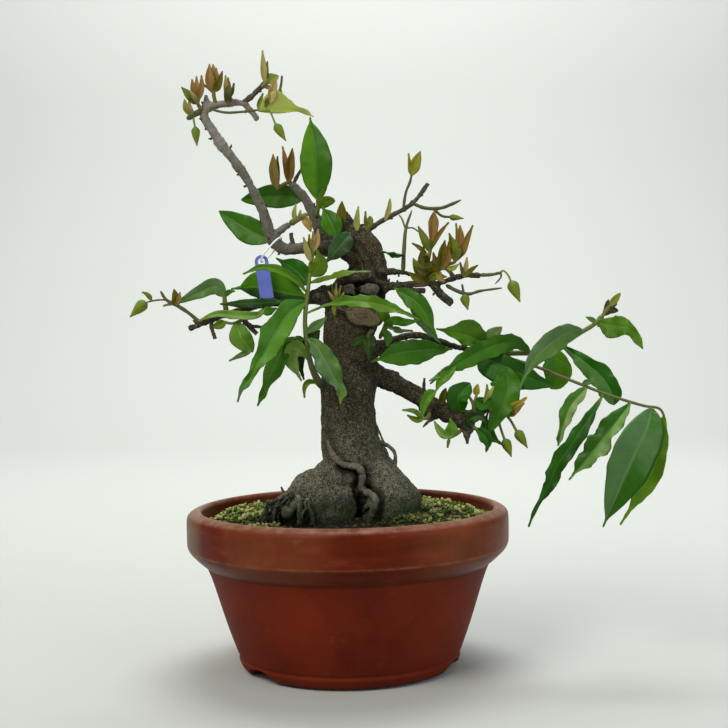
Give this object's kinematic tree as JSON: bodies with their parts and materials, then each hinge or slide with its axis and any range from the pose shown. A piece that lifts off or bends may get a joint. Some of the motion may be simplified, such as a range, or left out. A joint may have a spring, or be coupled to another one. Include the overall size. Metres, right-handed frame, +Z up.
{
  "type": "potted bonsai tree",
  "caption": "Small bonsai persimmon with a swollen root base, bent trunk, long twigs, waved leaves and young buds, in a round clay training pot.",
  "frame": {"origin": "middle of the bounding box across and in depth, on the plane that the pot stands on", "axes": "+Z up, -Y towards the side that the picture shows, +X to the right of that side"},
  "size_m": [0.2528, 0.157, 0.2936],
  "materials": {
    "clay": "fired red clay, band half glazed, worn rim",
    "bark": "rough grey-brown bark",
    "soil": "loose yellow-green grains with moss",
    "tag": "smooth blue sheet",
    "tie": "pale flexible tie",
    "mature": "living leaf, green, waxy",
    "bright": "living leaf, bright green",
    "blueGreen": "living leaf, blue-green sheen",
    "dark": "living leaf, dark green",
    "young": "young yellow-green leaf",
    "bronze": "young bronze leaf",
    "flowerBud": "green flower bud on a thin stalk"
  },
  "bodies": {
    "root": {"pot": "clay", "trunk": "bark", "soil": "soil", "tag": "tag", "tag_tie": "tie", "shoot_front_left": "mature", "shoot_right_upper": "mature", "shoot_right_lower": "mature", "leaf_crown": "mature", "leaf_crown_back": "mature", "leaf_top_front": "blueGreen", "leaf_upper_left": "mature", "leaf_left_upper": "mature", "buds_upper_left": "bronze", "buds_inner_left": "young", "buds_top_left": "bronze", "buds_top_middle": "bronze", "buds_top_small": "bronze", "shoot_top": "young", "buds_top_fork": "young", "bud_crown_left": "bronze", "bud_crown_middle": "young", "bud_crown_right": "young", "bud_twig_right": "young", "shoot_upper_right": "young", "flower_bud_upper_right": "flowerBud", "shoot_vertical": "dark", "shoot_bronze": "bronze", "shoot_right_middle": "bronze", "buds_right_end": "young", "buds_right_small": "young", "flower_bud_right": "flowerBud", "leaf_right_hanging": "blueGreen", "leaf_right_low": "mature", "leaves_trunk_right": "mature", "leaves_trunk_front": "dark", "leaves_right_middle": "bright", "leaves_right_dark": "mature", "leaf_low_dark": "dark", "bud_low_left": "bronze", "leaves_low_left": "bright", "leaves_low_middle": "bright", "buds_low_right": "young", "flower_buds_low_right": "flowerBud", "leaves_low_hanging": "mature", "leaf_left_high": "mature", "shoot_far_left": "young", "leaf_left_pale": "young", "leaf_left_narrow": "blueGreen", "leaves_left_low": "mature", "bud_trunk_left": "bronze"}
  },
  "joints": []
}
